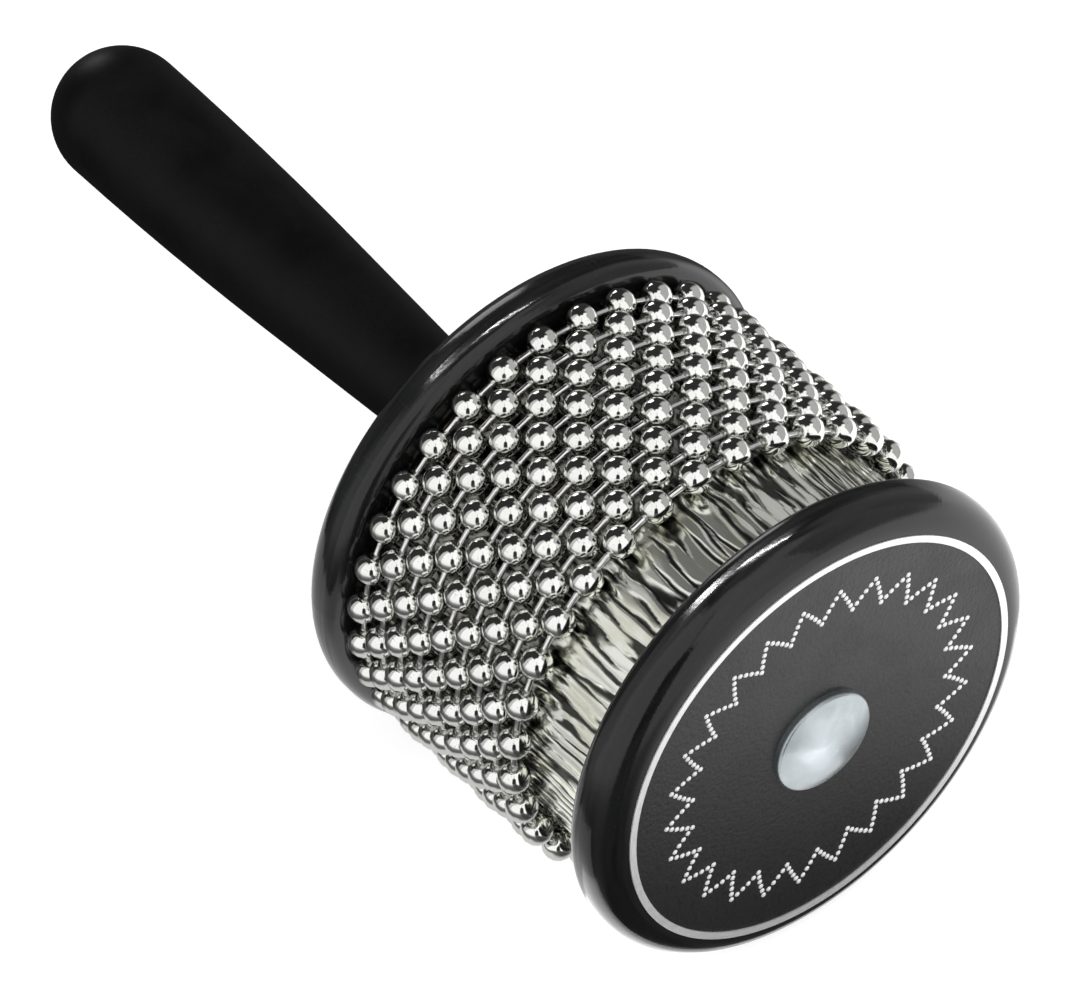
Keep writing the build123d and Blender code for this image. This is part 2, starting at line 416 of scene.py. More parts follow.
feed(smudges, hair.inputs["Scale"], sums(smudges, "DIVIDE", 1.5, size["Size"]))
feed(smudges, result["Scratch"], spread(smudges, hair.outputs["Fac"], 0.62, 0.72))
print("group", smudges.name)


# %% Streaks round the axis
STREAK_STRETCH = 0.004
streaks, size, result = new_group(
    "turning streaks", {"Width": 0.001}, ["Streak", "From Axis", "Along"])
place = put(streaks, "ShaderNodeTexCoord").outputs["Object"]
parts = put(streaks, "ShaderNodeSeparateXYZ")
feed(streaks, parts.inputs[0], place)
rise = sums(streaks, "SUBTRACT", parts.outputs["Z"], AXIS_HEIGHT)
across = sums(streaks, "MULTIPLY", parts.outputs["Y"], parts.outputs["Y"])
square = sums(streaks, "MULTIPLY_ADD", rise, rise, across)
away = sums(streaks, "SQRT", square)
feed(streaks, result["From Axis"], away)
from_middle = sums(streaks, "SUBTRACT", parts.outputs["X"], MIDDLE_STATION)
feed(streaks, result["Along"], sums(streaks, "ABSOLUTE", from_middle))
turn = sums(streaks, "MULTIPLY", sums(streaks, "ARCTAN2", parts.outputs["Y"], rise), STREAK_STRETCH)
line = put(streaks, "ShaderNodeTexNoise")
feed(streaks, line.inputs["Vector"], vector(streaks, parts.outputs["X"], away, turn))
feed(streaks, line.inputs["Scale"], sums(streaks, "DIVIDE", 1.0, size["Width"]))
line.inputs["Detail"].default_value = 3
feed(streaks, result["Streak"], spread(streaks, line.outputs["Fac"], 0.3, 0.7))
print("group", streaks.name)


# %% Pebbled skin
pebbles, size, result = new_group(
    "pebbled skin", {"Grain": 0.0006, "Unevenness": 0.5}, ["Height", "Pit"])
place = put(pebbles, "ShaderNodeTexCoord").outputs["Object"]
fine = put(pebbles, "ShaderNodeTexNoise")
feed(pebbles, fine.inputs["Vector"], place)
feed(pebbles, fine.inputs["Scale"], sums(pebbles, "DIVIDE", 0.6, size["Grain"]))
fine.inputs["Detail"].default_value = 2
stones = put(pebbles, "ShaderNodeTexVoronoi", feature="SMOOTH_F1")
feed(pebbles, stones.inputs["Vector"], place)
feed(pebbles, stones.inputs["Scale"], sums(pebbles, "DIVIDE", 1.0, size["Grain"]))
feed(pebbles, stones.inputs["Randomness"], 1.0)
rounded = sums(pebbles, "SUBTRACT", 1.0, stones.outputs["Distance"])
uneven = sums(pebbles, "MULTIPLY_ADD", fine.outputs["Fac"], size["Unevenness"], rounded)
feed(pebbles, result["Height"], uneven)
# Pit is one in the hollows between pebbles; the finishes darken there, a painted shade.
feed(pebbles, result["Pit"], spread(pebbles, stones.outputs["Distance"], 0.35, 0.75))
print("group", pebbles.name)


# %% [markdown]
# Finishes
#
# Each finish is one Principled shader. Its colour, gloss and relief come from the shared effects,
# while a number that is the same all over sits on the shader's own socket.

# %% Finish builder
def new_finish(name, **fixed):
    made = bpy.data.materials.new(name)
    made.use_nodes = True
    tree = made.node_tree
    shader = tree.nodes["Principled BSDF"]
    for socket, value in fixed.items():
        shader.inputs[socket.replace("_", " ")].default_value = value
    return made, tree, shader.inputs


def tinted(tree, inputs, share, tone, mark):
    """The base colour: a tone with a share of a mark's colour over it."""
    feed(tree, inputs["Base Color"], blend_colours(tree, share, tone, mark))


def glossed(tree, inputs, value, polished, dull):
    """The roughness, from polished to dull as a value goes from zero to one."""
    feed(tree, inputs["Roughness"], spread(tree, value, 0, 1, polished, dull, "LINEAR"))


def relief(tree, height, depth, strength):
    node = put(tree, "ShaderNodeBump")
    node.inputs["Strength"].default_value = strength
    node.inputs["Distance"].default_value = depth
    feed(tree, node.inputs["Height"], height)
    return node.outputs["Normal"]


def grey(value, warm=0.0):
    return (value * (1 + warm), value, value * (1 - warm), 1)


print("finishes can be built")

# %% [markdown]
# Steel of the chain
#
# The beads are pressed from plated steel and tumbled until they shine, and the links are drawn
# wire, a little duller. A plain metal with one roughness would look computed, so each bead also
# gets its own slight tone and gloss, from a number that the chain's node tree stores on it.

# %% Polished steel of the beads
bead_steel, tree, inputs = new_finish("bead_steel", Metallic=1.0)
marks = place_group(tree, smudges, Size=0.006, Edge=0.56)
each = put(tree, "ShaderNodeAttribute", attribute_name="each_piece").outputs["Fac"]
tone = blend_colours(tree, each, (0.80, 0.805, 0.77, 1), (0.87, 0.875, 0.84, 1))
tinted(tree, inputs, marks["Scratch"], tone, grey(0.6, 0.02))
gloss = spread(tree, marks["Smudge"], 0, 1, 0.05, 0.11, "LINEAR")
feed(tree, inputs["Roughness"], sums(tree, "MULTIPLY_ADD", each, 0.03, gloss))
print(bead_steel.name)

# %% Drawn wire of the links
link_steel, tree, inputs = new_finish("link_steel", Metallic=1.0)
marks = place_group(tree, smudges, Size=0.003, Edge=0.5)
tinted(tree, inputs, marks["Scratch"], grey(0.8, 0.01), grey(0.62, 0.02))
glossed(tree, inputs, marks["Smudge"], 0.14, 0.24)
print(link_steel.name)

# %% [markdown]
# Steel of the sleeve
#
# The sleeve's sheet is bright where it lies bare. Its valleys are darkened with painted shade,
# and so is the part under the chain, with the shade that the beads would cast. The relief already
# knows its valleys: it stores a mask, and the place along the drum tells the bare band from the
# part under the chain.

# %% Embossed steel of the sleeve
# Where the painted shade under the chain begins and where it is full, counted in from the chain's
# end.
CHAIN_SHADE_FROM = 0.0024
CHAIN_SHADE_FULL = 0.0057
embossed_steel, tree, inputs = new_finish("embossed_steel", Metallic=1.0)
marks = place_group(tree, smudges, Size=0.008, Edge=0.52)
crest = put(tree, "ShaderNodeAttribute", attribute_name="emboss").outputs["Fac"]
plate = blend_colours(tree, marks["Smudge"], (0.85, 0.86, 0.80, 1), (0.77, 0.77, 0.66, 1))
worn = blend_colours(tree, marks["Scratch"], plate, (0.88, 0.88, 0.84, 1))
# Valleys near black: painted shade in the hollows of the relief.
valley = spread(tree, crest, 0.1, 0.75)
bare_with_valley_shade = blend_colours(tree, valley, (0.05, 0.05, 0.045, 1), worn)
along = put(tree, "ShaderNodeSeparateXYZ")
feed(tree, along.inputs[0], put(tree, "ShaderNodeTexCoord").outputs["Object"])
# Darker under the chain: painted shade of the beads, with the valleys darker still.
chain_shade = spread(tree, along.outputs["X"], CHAIN_END - CHAIN_SHADE_FROM, CHAIN_END - CHAIN_SHADE_FULL)
dull = blend_colours(tree, valley, (0.05, 0.05, 0.046, 1), (0.24, 0.235, 0.215, 1))
tinted(tree, inputs, chain_shade, bare_with_valley_shade, dull)
glossed(tree, inputs, marks["Smudge"], 0.14, 0.22)
print(embossed_steel.name)

# %% [markdown]
# Black pieces
#
# The discs have a glossy rim with faint turning lines and a matt pebbled face; the handle is matt
# all over. Two materials on one disc would need its faces sorted, so one finish blends from rim to
# face by the distance from the axis and from the middle of the drum.

# %% Black lacquer of the discs
FACE_RADIUS = 0.0440
FACE_FADE = 0.0006
FACE_REACH = 0.0434
FACE_RISE = 0.0004
disc_black, tree, inputs = new_finish("disc_black", Specular_IOR_Level=0.4)
turning = place_group(tree, streaks, Width=0.0016)
marks = place_group(tree, smudges, Size=0.012, Edge=0.55)
skin = place_group(tree, pebbles, Grain=0.0007, Unevenness=0.8)
inside = spread(tree, turning["From Axis"], FACE_RADIUS + FACE_FADE, FACE_RADIUS)
outward = spread(tree, turning["Along"], FACE_REACH, FACE_REACH + FACE_RISE)
panel = sums(tree, "MULTIPLY", inside, outward)
rim_tone = blend_colours(tree, turning["Streak"], grey(0.006), grey(0.012, -0.03))
# The face is darker in the pits between pebbles, a painted shade.
face_tone_with_pit_shade = blend_colours(tree, skin["Pit"], grey(0.022, 0.02), grey(0.013, 0.02))
tone = blend_colours(tree, panel, rim_tone, face_tone_with_pit_shade)
tinted(tree, inputs, sums(tree, "MULTIPLY", marks["Scratch"], 0.06), tone, grey(0.09))
rim_gloss = spread(tree, turning["Streak"], 0, 1, 0.09, 0.2, "LINEAR")
face_gloss = spread(tree, marks["Smudge"], 0, 1, 0.36, 0.44, "LINEAR")
duller = sums(tree, "SUBTRACT", face_gloss, rim_gloss)
feed(tree, inputs["Roughness"], sums(tree, "MULTIPLY_ADD", panel, duller, rim_gloss))
grain = sums(tree, "MULTIPLY", skin["Height"], spread(tree, panel, 0, 1, 0.12, 1.0, "LINEAR"))
feed(tree, inputs["Normal"], relief(tree, grain, 0.00012, 0.55))
print(disc_black.name)

# %% Dark grip of the handle
handle_black, tree, inputs = new_finish("handle_black", Specular_IOR_Level=0.15)
turning = place_group(tree, streaks, Width=0.004)
marks = place_group(tree, smudges, Size=0.018, Edge=0.5)
skin = place_group(tree, pebbles, Grain=0.0005, Unevenness=0.6)
tone = blend_colours(tree, marks["Smudge"], grey(0.005, -0.04), grey(0.008, -0.02))
# Darker in the pits of the skin, a painted shade.
tinted(tree, inputs, sums(tree, "MULTIPLY", skin["Pit"], 0.4), tone, grey(0.004))
gloss = spread(tree, marks["Smudge"], 0, 1, 0.40, 0.5, "LINEAR")
feed(tree, inputs["Roughness"], sums(tree, "MULTIPLY_ADD", turning["Streak"], 0.05, gloss))
feed(tree, inputs["Normal"], relief(tree, skin["Height"], 0.00006, 0.35))
print(handle_black.name)

# %% [markdown]
# Silver and zinc
#
# The ring and the raised dots are silvered and slightly dull, and the bolt's head is plated with
# bluish zinc. Full metal would turn the dots black wherever the room is dark, so the silver is part
# metal and part paint, more of a metal in the ring than in the dots.

# %% Silver foil of the ring and dots
DOTS_END = 0.040
RING_BEGINS = 0.042
silver_foil, tree, inputs = new_finish("silver_foil")
turning = place_group(tree, streaks, Width=0.0004)
marks = place_group(tree, smudges, Size=0.004, Edge=0.6)
tone = blend_colours(tree, turning["Streak"], grey(0.91), grey(0.97))
tinted(tree, inputs, sums(tree, "MULTIPLY", marks["Smudge"], 0.5), tone, grey(0.74))
metal = spread(tree, turning["From Axis"], DOTS_END, RING_BEGINS, 0.1, 0.45)
feed(tree, inputs["Metallic"], metal)
glossed(tree, inputs, turning["Streak"], 0.28, 0.4)
feed(tree, inputs["Normal"], relief(tree, turning["Streak"], 0.00003, 0.4))
print(silver_foil.name)

# %% Zinc plate of the through bolt
zinc_steel, tree, inputs = new_finish("zinc_steel", Metallic=0.9)
turning = place_group(tree, streaks, Width=0.0009)
marks = place_group(tree, smudges, Size=0.005, Edge=0.5)
tone = blend_colours(tree, marks["Smudge"], (0.45, 0.49, 0.51, 1), (0.40, 0.44, 0.46, 1))
tinted(tree, inputs, marks["Scratch"], tone, (0.50, 0.54, 0.56, 1))
gloss = spread(tree, marks["Smudge"], 0, 1, 0.27, 0.34, "LINEAR")
feed(tree, inputs["Roughness"], sums(tree, "MULTIPLY_ADD", turning["Streak"], 0.04, gloss))
print(zinc_steel.name)

# %% [markdown]
# Finishes inside
#
# The wooden core, the brass insert and the brads are hidden until the part is taken apart. They
# still get finishes of their own, from the same shared effects with other sizes.

# %% Wood core, brass insert, brads
core_wood, tree, inputs = new_finish("core_wood")
turning = place_group(tree, streaks, Width=0.0022)
skin = place_group(tree, pebbles, Grain=0.0012, Unevenness=1.0)
tone = blend_colours(tree, turning["Streak"], (0.42, 0.27, 0.14, 1), (0.58, 0.41, 0.24, 1))
# Darker in the pits, a painted shade.
tinted(tree, inputs, sums(tree, "MULTIPLY", skin["Pit"], 0.5), tone, (0.3, 0.18, 0.09, 1))
glossed(tree, inputs, turning["Streak"], 0.55, 0.7)
feed(tree, inputs["Normal"], relief(tree, turning["Streak"], 0.0002, 0.4))

insert_brass, tree, inputs = new_finish("insert_brass", Metallic=1.0)
turning = place_group(tree, streaks, Width=0.0006)
marks = place_group(tree, smudges, Size=0.004, Edge=0.5)
tinted(tree, inputs, marks["Smudge"], (0.72, 0.53, 0.24, 1), (0.6, 0.42, 0.18, 1))
glossed(tree, inputs, turning["Streak"], 0.25, 0.4)

brad_steel, tree, inputs = new_finish("brad_steel", Metallic=1.0)
marks = place_group(tree, smudges, Size=0.002, Edge=0.5)
tinted(tree, inputs, marks["Smudge"], grey(0.66, 0.01), grey(0.54, 0.03))
glossed(tree, inputs, marks["Smudge"], 0.25, 0.42)
print(core_wood.name, insert_brass.name, brad_steel.name)

# %% Finishes onto the carried-over solids
CARRIED = {
    "handle": handle_black,
    "handle_insert": insert_brass,
    "rear_disc": disc_black,
    "front_disc": disc_black,
    "front_trim_ring": silver_foil,
    "drum_core": core_wood,
    "sleeve_brads": brad_steel,
    "through_bolt": zinc_steel,
}
for name, finish in CARRIED.items():
    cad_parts[name].data.materials[0] = finish
print("finished solids", sorted(CARRIED))

# %% [markdown]
# Small shapes that repeat
#
# A bead of this chain is a hollow ball pressed from sheet, with a hole rolled in at each end where
# the link enters. A link is a short pin with its ends inside two beads. Each is made once, as a
# turned shape with few faces, because there are hundreds of them; smooth normals make so few faces
# look round.

# %% Turned shape builder
def turned_shape(name, rows, columns):
    """A closed body of revolution about Z from rows of (radius, height), its ends on the axis."""
    shape = bmesh.new()
    first = shape.verts.new((0, 0, rows[0][1]))
    last = shape.verts.new((0, 0, rows[-1][1]))
    rings = []
    circle = [math.tau * step / columns for step in range(columns)]
    for radius, height in rows[1:-1]:
        places = [(radius * math.cos(a), radius * math.sin(a), height) for a in circle]
        rings.append([shape.verts.new(place) for place in places])
    for step in range(columns):
        after = (step + 1) % columns
        shape.faces.new((first, rings[0][after], rings[0][step]))
        shape.faces.new((last, rings[-1][step], rings[-1][after]))
        for near, far in zip(rings, rings[1:]):
            shape.faces.new((near[step], near[after], far[after], far[step]))
    bmesh.ops.recalc_face_normals(shape, faces=shape.faces)
    mesh = bpy.data.meshes.new(name)
    shape.to_mesh(mesh)
    shape.free()
    mesh.polygons.foreach_set("use_smooth", [True] * len(mesh.polygons))
    made = bpy.data.objects.new(name, mesh)
    made.hide_render = True
    bpy.context.scene.collection.objects.link(made)
    print(name, len(mesh.polygons), "faces")
    return made


# %% One bead, one link, one dot
BEAD_RADIUS = 0.003175
MOUTH_RADIUS = 0.00082
MOUTH_HEIGHT = BEAD_RADIUS - 0.00032
HOLLOW_HEIGHT = BEAD_RADIUS - 0.0009
latitudes = [math.radians(t) for t in (20, 38, 56, 73, 90, 107, 124, 142, 160)]
ball = [(BEAD_RADIUS * math.sin(t), BEAD_RADIUS * math.cos(t)) for t in latitudes]
bead_rows = [(0, HOLLOW_HEIGHT), (MOUTH_RADIUS, MOUTH_HEIGHT), *ball,
             (MOUTH_RADIUS, -MOUTH_HEIGHT), (0, -HOLLOW_HEIGHT)]
one_bead = turned_shape("one_bead", bead_rows, 16)
PIN_RADIUS = 0.00065
WAIST_RADIUS = 0.00061
PIN_HALF = 0.0026
pin_end = [(0, PIN_HALF), (PIN_RADIUS, PIN_HALF), (PIN_RADIUS, 0.0011), (WAIST_RADIUS, 0.0007)]
pin_rows = pin_end + [(radius, -height) for radius, height in reversed(pin_end)]
one_link = turned_shape("one_link", pin_rows, 10)
dot_rows = [(0, 0.00028), (0.00034, 0.00022), (0.00056, 0.00005),
            (0.00060, -0.00008), (0, -0.00008)]
one_dot = turned_shape("one_dot", dot_rows, 8)

# %% [markdown]
# The chain loops
#
# Nine loops lie side by side, each a ring of 32 beads joined by 32 links, and every second loop is
# turned by half a step so that its beads nestle. An array modifier on a curve could repeat them,
# but Geometry Nodes place them by rule: points on a circle, one instance each, turned so that the
# hole follows the loop.

# %% Tree builder and baker
def new_tree(name, sizes):
    tree = bpy.data.node_groups.new(name, "GeometryNodeTree")
    tree.interface.new_socket("Geometry", in_out="OUTPUT", socket_type="NodeSocketGeometry")
    for socket, kind in sizes.items():
        tree.interface.new_socket(socket, in_out="INPUT", socket_type="NodeSocket" + kind)
    result = put(tree, "NodeGroupOutput").inputs["Geometry"]
    return tree, put(tree, "NodeGroupInput").outputs, result


def close_tree(tree, shape, material, result):
    """Every tree ends the same way: real geometry instead of instances, with its finish."""
    real = put(tree, "GeometryNodeRealizeInstances")
    feed(tree, real.inputs["Geometry"], shape)
    finished = put(tree, "GeometryNodeSetMaterial")
    feed(tree, finished.inputs["Geometry"], real.outputs["Geometry"])
    feed(tree, finished.inputs["Material"], material)
    feed(tree, result, finished.outputs["Geometry"])


def bake(name, tree, **values):
    """Run a tree on an empty object and keep the outcome as a plain mesh."""
    piece = bpy.data.objects.new(name, bpy.data.meshes.new(name))
    bpy.context.scene.collection.objects.link(piece)
    nodes = piece.modifiers.new("nodes", "NODES")
    nodes.node_group = tree
    for item in tree.interface.items_tree:
        if item.in_out == "INPUT":
            nodes[item.identifier] = values[item.name.replace(" ", "_").lower()]
    bpy.context.view_layer.update()
    ready = piece.evaluated_get(bpy.context.evaluated_depsgraph_get())
    mesh = bpy.data.meshes.new_from_object(ready)
    piece.modifiers.clear()
    piece.data = mesh
    mesh.name = name
    print(name, len(mesh.polygons), "faces")
    return piece


# %% Tree for a ring of pieces
ring_tree, size, result = new_tree("ring of pieces", {
    "Piece": "Object", "Count": "Int", "Radius": "Float", "Station": "Float", "Height": "Float",
    "Turn": "Float", "Seed": "Int", "Finish": "Material"})
number = put(ring_tree, "GeometryNodeInputIndex").outputs[0]
step = sums(ring_tree, "DIVIDE", math.tau, size["Count"])
angle = sums(ring_tree, "MULTIPLY", sums(ring_tree, "ADD", number, size["Turn"]), step)
sideways = sums(ring_tree, "MULTIPLY", sums(ring_tree, "SINE", angle), size["Radius"])
cosine = sums(ring_tree, "COSINE", angle)
upward = sums(ring_tree, "MULTIPLY_ADD", cosine, size["Radius"], size["Height"])
points = put(ring_tree, "GeometryNodePoints")
feed(ring_tree, points.inputs["Count"], size["Count"])
feed(ring_tree, points.inputs["Position"], vector(ring_tree, size["Station"], sideways, upward))
along_loop = sums(ring_tree, "SUBTRACT", -math.pi / 2, angle)
placed = put(ring_tree, "GeometryNodeInstanceOnPoints")
template = put(ring_tree, "GeometryNodeObjectInfo")
feed(ring_tree, template.inputs["Object"], size["Piece"])
template.inputs["As Instance"].default_value = True
feed(ring_tree, placed.inputs["Points"], points.outputs[0])
feed(ring_tree, placed.inputs["Instance"], template.outputs["Geometry"])
feed(ring_tree, placed.inputs["Rotation"], vector(ring_tree, along_loop))
chance = put(ring_tree, "FunctionNodeRandomValue", data_type="FLOAT")
feed(ring_tree, chance.inputs["Seed"], size["Seed"])
marked = put(ring_tree, "GeometryNodeStoreNamedAttribute", data_type="FLOAT", domain="INSTANCE")
feed(ring_tree, marked.inputs["Geometry"], placed.outputs["Instances"])
marked.inputs["Name"].default_value = "each_piece"
feed(ring_tree, marked.inputs["Value"], chance.outputs[1])
close_tree(ring_tree, marked.outputs["Geometry"], size["Finish"], result)
print("tree", ring_tree.name, len(ring_tree.nodes), "nodes")

# %% Nine loops of beads and links
BEADS_EACH = 32
BEAD_CIRCLE = 0.046675
LINK_CIRCLE = BEAD_CIRCLE * math.cos(math.pi / BEADS_EACH)
for loop in range(1, 10):
    low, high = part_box(f"bead_loop_{loop}_beads")
    lead = 0.5 if loop % 2 else 0.0
    shared = {"count": BEADS_EACH, "station": (low.x + high.x) / 2,
              "height": AXIS_HEIGHT, "seed": loop}
    beads = bake(f"chain_{loop}_beads", ring_tree, piece=one_bead, radius=BEAD_CIRCLE,
                 turn=lead, finish=bead_steel, **shared)
    links = bake(f"chain_{loop}_links", ring_tree, piece=one_link, radius=LINK_CIRCLE,
                 turn=lead + 0.5, finish=link_steel, **shared)
    for piece, kind in ((beads, "beads"), (links, "links")):
        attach(piece, f"bead_loop_{loop}")
        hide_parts(f"bead_loop_{loop}_{kind}")
print("loops made")

# %% [markdown]
# The embossed sleeve
#
# The drum is wrapped in thin steel, pressed all over with long pointed leaves that lie along the
# axis with dark valleys between them; they are what the beads rasp on. A bump map would stay smooth
# in outline, so the leaves are real relief: a fine grid is rolled into a closed tube, and a
# stretched cell pattern gives its height. The valleys also store a mask, so that the finish can
# paint shade into them.

# %% Tree for the sleeve
sleeve_tree, size, result = new_tree("embossed sleeve", {
    "Start": "Float", "Length": "Float", "Radius": "Float", "Thickness": "Float",
    "Height": "Float", "Leaf Width": "Float", "Leaf Length": "Float", "Slant": "Float",
    "Depth": "Float", "Seam": "Float", "Steps Along": "Int", "Steps Round": "Int",
    "Seed": "Float", "Finish": "Material"})
tree = sleeve_tree
sheet = put(tree, "GeometryNodeMeshGrid")
sheet.inputs["Size X"].default_value = 1
sheet.inputs["Size Y"].default_value = 1
feed(tree, sheet.inputs["Vertices X"], sums(tree, "ADD", size["Steps Along"], 4))
feed(tree, sheet.inputs["Vertices Y"], sums(tree, "ADD", size["Steps Round"], 1))
where = put(tree, "ShaderNodeSeparateXYZ")
feed(tree, where.inputs[0], put(tree, "GeometryNodeInputPosition").outputs[0])
last = sums(tree, "ADD", size["Steps Along"], 3)
row = sums(tree, "ROUND", sums(tree, "MULTIPLY", sums(tree, "ADD", where.outputs["X"], 0.5), last))
share = sums(tree, "ADD", where.outputs["Y"], 0.5)
on_top = sums(tree, "LESS_THAN", row, sums(tree, "ADD", size["Steps Along"], 0.5))
closing = sums(tree, "GREATER_THAN", row, sums(tree, "ADD", size["Steps Along"], 2.5))
far_end = sums(tree, "LESS_THAN", row, sums(tree, "ADD", size["Steps Along"], 1.5))
travel = sums(tree, "DIVIDE", row, size["Steps Along"])
along = sums(tree, "MINIMUM", sums(tree, "MULTIPLY", travel, far_end), 1.0)
outside = sums(tree, "MAXIMUM", on_top, closing)
print("sleeve rows laid out")

# %% Leaves and valleys
SWAYS_PER_METRE = 110
SWAY = 0.0022
CELL_CHANCE = 0.9
girth = sums(tree, "MULTIPLY", size["Radius"], math.tau)
arc = sums(tree, "MULTIPLY", share, girth)
run = sums(tree, "MULTIPLY", along, size["Length"])
skewed = sums(tree, "MULTIPLY_ADD", run, size["Slant"], arc)
sway = put(tree, "ShaderNodeTexNoise", noise_dimensions="2D")
feed(tree, sway.inputs["Vector"], vector(tree, arc, run))
sway.inputs["Scale"].default_value = SWAYS_PER_METRE
bent = sums(tree, "SUBTRACT", sway.outputs["Fac"], 0.5)
swayed = sums(tree, "MULTIPLY_ADD", bent, SWAY, skewed)
across = sums(tree, "ADD", sums(tree, "DIVIDE", swayed, size["Leaf Width"]), size["Seed"])
lengthwise = sums(tree, "DIVIDE", run, size["Leaf Length"])
spot = vector(tree, across, lengthwise)
leaves = put(tree, "ShaderNodeTexVoronoi", voronoi_dimensions="2D", feature="DISTANCE_TO_EDGE")
leaf = put(tree, "ShaderNodeTexVoronoi", voronoi_dimensions="2D", feature="F1")
for cells in (leaves, leaf):
    feed(tree, cells.inputs["Vector"], spot)
    cells.inputs["Scale"].default_value = 1
    cells.inputs["Randomness"].default_value = CELL_CHANCE
inward = leaves.outputs["Distance"]
closed = put(tree, "ShaderNodeTexNoise", noise_dimensions="2D")
feed(tree, closed.inputs["Vector"], vector(tree, across, sums(tree, "MULTIPLY", lengthwise, 2.4)))
closed.inputs["Scale"].default_value = 0.9
closed.inputs["Detail"].default_value = 1
opening = spread(tree, closed.outputs["Fac"], 0.34, 0.62)
widest = spread(tree, opening, 0, 1, 0.06, 0.34, "LINEAR")
slit = spread(tree, inward, 0.015, widest, 1.0, 0.0)
opened = sums(tree, "MINIMUM", sums(tree, "MULTIPLY", opening, 2.5), 1.0)
valley = sums(tree, "MULTIPLY", slit, opened)
crest = sums(tree, "SUBTRACT", 1.0, valley)
print("leaf outlines laid out")

# %% Crowned and tilted leaves
CROWN = 0.00011
SIDE_LEAN = 0.00024
LONG_LEAN = 0.0006
DENTS_PER_METRE = 230
DENT = 0.0001
flat = sums(tree, "MINIMUM", sums(tree, "MULTIPLY", inward, 2.0), 1.0)
fall = sums(tree, "SUBTRACT", 1.0, flat)
crown = sums(tree, "MULTIPLY", sums(tree, "MULTIPLY", fall, fall), CROWN)
lean = put(tree, "FunctionNodeSeparateColor")
feed(tree, lean.inputs[0], leaf.outputs["Color"])
middle = put(tree, "ShaderNodeSeparateXYZ")
feed(tree, middle.inputs[0], leaf.outputs["Position"])
sideways_lean = sums(tree, "MULTIPLY", sums(tree, "SUBTRACT", lean.outputs[0], 0.5), SIDE_LEAN)
lengthwise_lean = sums(tree, "MULTIPLY", sums(tree, "SUBTRACT", lean.outputs[1], 0.5), LONG_LEAN)
off_across = sums(tree, "SUBTRACT", across, middle.outputs["X"])
off_along = sums(tree, "SUBTRACT", lengthwise, middle.outputs["Y"])
tipped = sums(tree, "MULTIPLY", off_across, sideways_lean)
tipped = sums(tree, "MULTIPLY_ADD", off_along, lengthwise_lean, tipped)
waves = put(tree, "ShaderNodeTexNoise", noise_dimensions="2D")
feed(tree, waves.inputs["Vector"], vector(tree, arc, sums(tree, "MULTIPLY", run, 0.6)))
waves.inputs["Scale"].default_value = DENTS_PER_METRE
dented = sums(tree, "MULTIPLY_ADD", waves.outputs["Fac"], DENT, tipped)
surface = sums(tree, "MULTIPLY", sums(tree, "ADD", crown, dented), crest)
dip = sums(tree, "MULTIPLY_ADD", valley, size["Depth"], surface)
print("leaves tilted and dented")

# %% Seam and thickness of the sheet
to_edge = sums(tree, "SUBTRACT", 0.5, sums(tree, "ABSOLUTE", where.outputs["Y"]))
from_seam = sums(tree, "MULTIPLY", to_edge, girth)
seam_open = sums(tree, "LESS_THAN", from_seam, sums(tree, "MULTIPLY", size["Seam"], 0.5))
gap = sums(tree, "MULTIPLY", seam_open, sums(tree, "MULTIPLY", size["Thickness"], 0.9))
deepest = sums(tree, "MULTIPLY", size["Thickness"], 0.92)
pressed = sums(tree, "MAXIMUM", sums(tree, "MAXIMUM", dip, gap), 0.0)
lowered = sums(tree, "MINIMUM", pressed, deepest)
inside = sums(tree, "SUBTRACT", outside, 1.0)
wall = sums(tree, "MULTIPLY_ADD", inside, size["Thickness"], size["Radius"])
radius = sums(tree, "SUBTRACT", wall, sums(tree, "MULTIPLY", lowered, outside))
print("leaf pattern laid out")

# %% Roll the sheet up and bake it
MERGE_DISTANCE = 0.000005
angle = sums(tree, "MULTIPLY_ADD", share, math.tau, math.pi)
station = sums(tree, "MULTIPLY_ADD", along, size["Length"], size["Start"])
sideways = sums(tree, "MULTIPLY", sums(tree, "SINE", angle), radius)
upward = sums(tree, "MULTIPLY_ADD", sums(tree, "COSINE", angle), radius, size["Height"])
masked = put(tree, "GeometryNodeStoreNamedAttribute", data_type="FLOAT", domain="POINT")
feed(tree, masked.inputs["Geometry"], sheet.outputs["Mesh"])
masked.inputs["Name"].default_value = "emboss"
feed(tree, masked.inputs["Value"], crest)
rolled = put(tree, "GeometryNodeSetPosition")
feed(tree, rolled.inputs["Geometry"], masked.outputs["Geometry"])
feed(tree, rolled.inputs["Position"], vector(tree, station, sideways, upward))
joined = put(tree, "GeometryNodeMergeByDistance")
feed(tree, joined.inputs["Geometry"], rolled.outputs["Geometry"])
joined.inputs["Distance"].default_value = MERGE_DISTANCE
facing = put(tree, "ShaderNodeSeparateXYZ")
feed(tree, facing.inputs[0], put(tree, "GeometryNodeInputNormal").outputs[0])
rounded = sums(tree, "LESS_THAN", sums(tree, "ABSOLUTE", facing.outputs["X"]), 0.95)
smooth = put(tree, "GeometryNodeSetShadeSmooth", domain="FACE")
feed(tree, smooth.inputs["Geometry"], joined.outputs["Geometry"])
feed(tree, smooth.inputs["Shade Smooth"], rounded)
close_tree(tree, smooth.outputs["Geometry"], size["Finish"], result)
sleeve = bake("embossed_sleeve", sleeve_tree, start=sleeve_low.x, length=SLEEVE_LENGTH,
              radius=SLEEVE_RADIUS, thickness=0.0005, height=AXIS_HEIGHT, leaf_width=0.0025,
              leaf_length=0.024, slant=0.02, depth=0.00034, seam=0.0006, steps_along=60,
              steps_round=1500, seed=3.0, finish=embossed_steel)
shape = bmesh.new()
shape.from_mesh(sleeve.data)
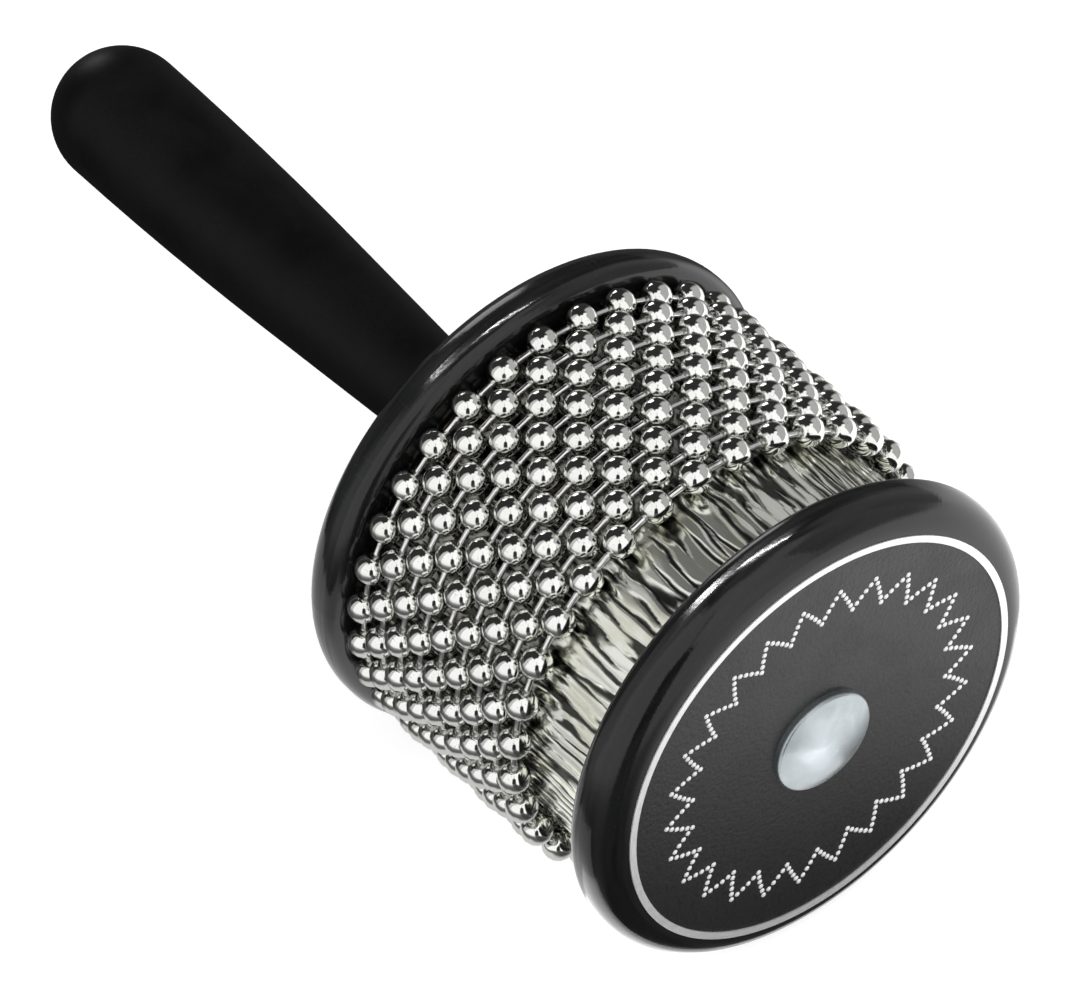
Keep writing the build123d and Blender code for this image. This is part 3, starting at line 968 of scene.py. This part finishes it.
open_edges = sum(edge.is_boundary for edge in shape.edges)
print("sleeve volume", shape.calc_volume(signed=True) * 1e9, "open edges", open_edges)
shape.free()
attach(sleeve, "drum_and_handle")
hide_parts("drum_sleeve")

# %% [markdown]
# Light for the sleeve
#
# The bare band in front of the chain mirrors the dark far side of the room, and would be black
# there. Four lamps of its own fill it, from the side, the floor, the back and above, so that every
# leaf shows against its valley. They light nothing else.

# %% Light for the bare band
hung_lamp([sleeve], "band_side", towards(-130, 25), towards(-76, 25), width=1.0, glow=0.30)
floor_lamp([sleeve], "band_sheet", (-0.3, -0.4), (0.035, -0.035), glow=0.42)
hung_lamp([sleeve], "band_back", towards(-178, 40), towards(140, 40), width=0.9, glow=0.45)
hung_lamp([sleeve], "band_top", towards(-100, 56), towards(-165, 56), width=0.5, glow=0.14)

# %% [markdown]
# Dots on the front face
#
# The front face carries a band of small raised silver dots inside the ring. Here they run in a
# plain zigzag, a common border. They could be set one by one, but a second short tree places them
# by rule: one number gives each dot its angle and, folded back and forth, its distance from the
# middle. A lamp of their own keeps them bright.

# %% Zigzag of dots
dot_tree, size, result = new_tree("zigzag of dots", {
    "Dot": "Object", "Teeth": "Int", "Dots Each": "Int", "Inner": "Float", "Outer": "Float",
    "Station": "Float", "Height": "Float", "Finish": "Material"})
tree = dot_tree
number = put(tree, "GeometryNodeInputIndex").outputs[0]
total = sums(tree, "MULTIPLY", size["Teeth"], size["Dots Each"])
angle = sums(tree, "MULTIPLY", number, sums(tree, "DIVIDE", math.tau, total))
half = sums(tree, "DIVIDE", size["Dots Each"], 2.0)
fold = sums(tree, "DIVIDE", sums(tree, "PINGPONG", number, half), half)
depth = sums(tree, "SUBTRACT", size["Outer"], size["Inner"])
radius = sums(tree, "MULTIPLY_ADD", fold, depth, size["Inner"])
sideways = sums(tree, "MULTIPLY", sums(tree, "SINE", angle), radius)
upward = sums(tree, "MULTIPLY_ADD", sums(tree, "COSINE", angle), radius, size["Height"])
points = put(tree, "GeometryNodePoints")
feed(tree, points.inputs["Count"], total)
feed(tree, points.inputs["Position"], vector(tree, size["Station"], sideways, upward))
template = put(tree, "GeometryNodeObjectInfo")
feed(tree, template.inputs["Object"], size["Dot"])
template.inputs["As Instance"].default_value = True
placed = put(tree, "GeometryNodeInstanceOnPoints")
feed(tree, placed.inputs["Points"], points.outputs[0])
feed(tree, placed.inputs["Instance"], template.outputs["Geometry"])
placed.inputs["Rotation"].default_value = (0, math.pi / 2, 0)
close_tree(tree, placed.outputs["Instances"], size["Finish"], result)
dots = bake("face_dots", dot_tree, dot=one_dot, teeth=26, dots_each=10, inner=0.0300, outer=0.0358,
            station=FACE_STATION, height=AXIS_HEIGHT, finish=silver_foil)
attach(dots, "drum_and_handle")
hung_lamp([dots], "dots_lamp", towards(40, 25), towards(90, 25), width=0.8, glow=0.9)

# %% [markdown]
# Finishing
#
# The patterns that were only copied are removed, and the finished model's box is printed.

# %% Remove the patterns and print the size
for template in (one_bead, one_link, one_dot):
    bpy.data.objects.remove(template)
low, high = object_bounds()
print("box", low, high)
